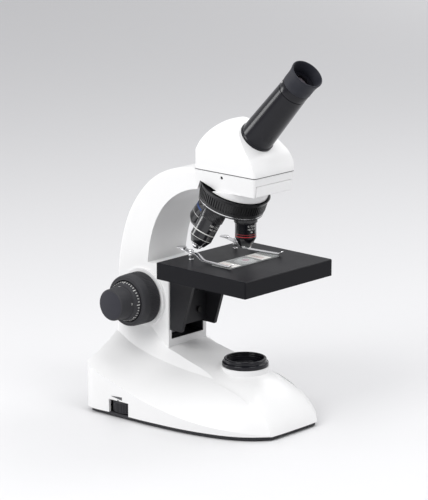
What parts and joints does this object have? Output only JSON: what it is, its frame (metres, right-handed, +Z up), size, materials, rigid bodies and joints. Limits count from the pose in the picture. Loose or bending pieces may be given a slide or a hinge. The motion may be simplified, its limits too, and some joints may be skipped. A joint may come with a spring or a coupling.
{
  "type": "student microscope",
  "caption": "Monocular compound microscope: inclined eyepiece on a turning head, revolving tilted nosepiece, flat stage with spring clips, coaxial focus knobs and a lamp in the base.",
  "frame": {"origin": "on the table under the middle of the bounding box", "axes": "+Z up, -Y towards the user and the front of the base, +X to the user's right"},
  "size_m": [0.1806, 0.2576, 0.3958],
  "materials": {
    "white_housing": "satin white over a fine moulded grain",
    "white_casting": "satin white lacquer on a light casting",
    "black_paint": "fine-grained satin black paint",
    "black_plastic": "satin black moulding",
    "rubber": "matte dark grey",
    "turret_black": "black anodised",
    "objective_black": "gloss black lacquer",
    "bright_metal": "polished",
    "steel": "ground",
    "bronze": "turned",
    "band_ink": "colour coded enamel",
    "optical_glass": "coated and polished",
    "slide_glass": "clear",
    "circuit_board": "solder mask"
  },
  "bodies": {
    "stand": {"base_housing": "white_housing", "bottom_plate": "black_plastic", "base_screws": "bright_metal", "feet": "rubber", "illuminator_collar": "black_paint", "field_lens": "optical_glass", "lamp_holder": "black_plastic", "led_board": "circuit_board", "collector_lens": "optical_glass", "dimmer_board": "circuit_board", "power_inlet": "black_plastic", "arm": "white_casting", "nose_cover": "white_housing", "dovetail_receiver": "black_paint", "head_lock_screw": "bright_metal", "guide_rail": "steel", "shaft_bushes": "bronze", "nosepiece_base": "white_casting", "turret_pivot": "bright_metal", "detent_spring": "steel"},
    "head": {"head_housing": "white_housing", "head_flange": "bright_metal", "prism_holder": "black_paint", "head_prism": "optical_glass", "eyetube": "black_paint"},
    "eyepiece": {"eyepiece_barrel": "black_paint", "eyecup": "rubber", "eye_lens": "optical_glass", "eyepiece_field_lens": "optical_glass"},
    "nosepiece": {"turret_ring": "turret_black", "turret_plate": "turret_black", "objective_4x": "objective_black", "objective_10x": "objective_black", "objective_40x": "objective_black", "objective_100x": "objective_black", "objective_bands": "band_ink", "objective_noses": "bright_metal", "objective_lenses": "optical_glass"},
    "stage": {"stage_plate": "black_paint", "stage_bracket": "black_paint", "stage_carriage": "black_paint", "focus_rack": "steel", "stage_screws": "bright_metal", "condenser_mount": "black_paint", "condenser_lens": "optical_glass", "disc_screw": "bright_metal", "specimen_slide": "slide_glass", "cover_glass": "slide_glass"},
    "coarse_drive": {"pinion_shaft": "steel", "coarse_knob_left": "black_plastic", "coarse_knob_right": "black_plastic"},
    "fine_drive": {"fine_shaft": "steel", "fine_knob_left": "black_plastic", "fine_knob_right": "black_plastic"},
    "left_clip": {"stage_clip_left": "bright_metal"},
    "right_clip": {"stage_clip_right": "bright_metal"},
    "aperture": {"aperture_disc": "black_paint"},
    "dimmer": {"dimmer_wheel": "black_plastic"}
  },
  "joints": [
    {"name": "head_turn", "type": "hinge", "parent": "stand", "child": "head", "pos_m": [0, -0.03256, 0.273], "axis": [0, 0, 1], "continuous": true},
    {"name": "eyepiece_turn", "type": "hinge", "parent": "head", "child": "eyepiece", "pos_m": [0, -0.03256, 0.293], "axis": [0, -0.6756, 0.7373], "continuous": true},
    {"name": "nosepiece_turn", "type": "hinge", "parent": "stand", "child": "nosepiece", "pos_m": [0, -0.03256, 0.28971], "axis": [0, 0.342, -0.9397], "continuous": true},
    {"name": "stage_focus", "type": "slide", "parent": "stand", "child": "stage", "axis": [0, 0, 1], "range_m": [-0.016, 0.0003]},
    {"name": "coarse_turn", "type": "hinge", "parent": "stand", "child": "coarse_drive", "pos_m": [0, 0.08744, 0.121], "axis": [1, 0, 0], "range_deg": [-3.5, 154]},
    {"name": "fine_turn", "type": "hinge", "parent": "stand", "child": "fine_drive", "pos_m": [0, 0.08744, 0.121], "axis": [1, 0, 0], "continuous": true},
    {"name": "left_clip_swing", "type": "hinge", "parent": "stage", "child": "left_clip", "pos_m": [-0.0345, 0.01344, 0.175], "axis": [0, 0, 1], "range_deg": [-60, 20]},
    {"name": "right_clip_swing", "type": "hinge", "parent": "stage", "child": "right_clip", "pos_m": [0.0345, 0.01344, 0.175], "axis": [0, 0, 1], "range_deg": [-20, 60]},
    {"name": "aperture_turn", "type": "hinge", "parent": "stage", "child": "aperture", "pos_m": [0, -0.05056, 0.159], "axis": [0, 0, 1], "continuous": true},
    {"name": "dimmer_turn", "type": "hinge", "parent": "stand", "child": "dimmer", "pos_m": [-0.0695, 0.06994, 0.012], "axis": [0, 0, 1], "range_deg": [0, 270]}
  ],
  "couplings": [
    {"joint": "coarse_turn", "follows": "stage_focus", "rad_per_m": -166.67}
  ]
}
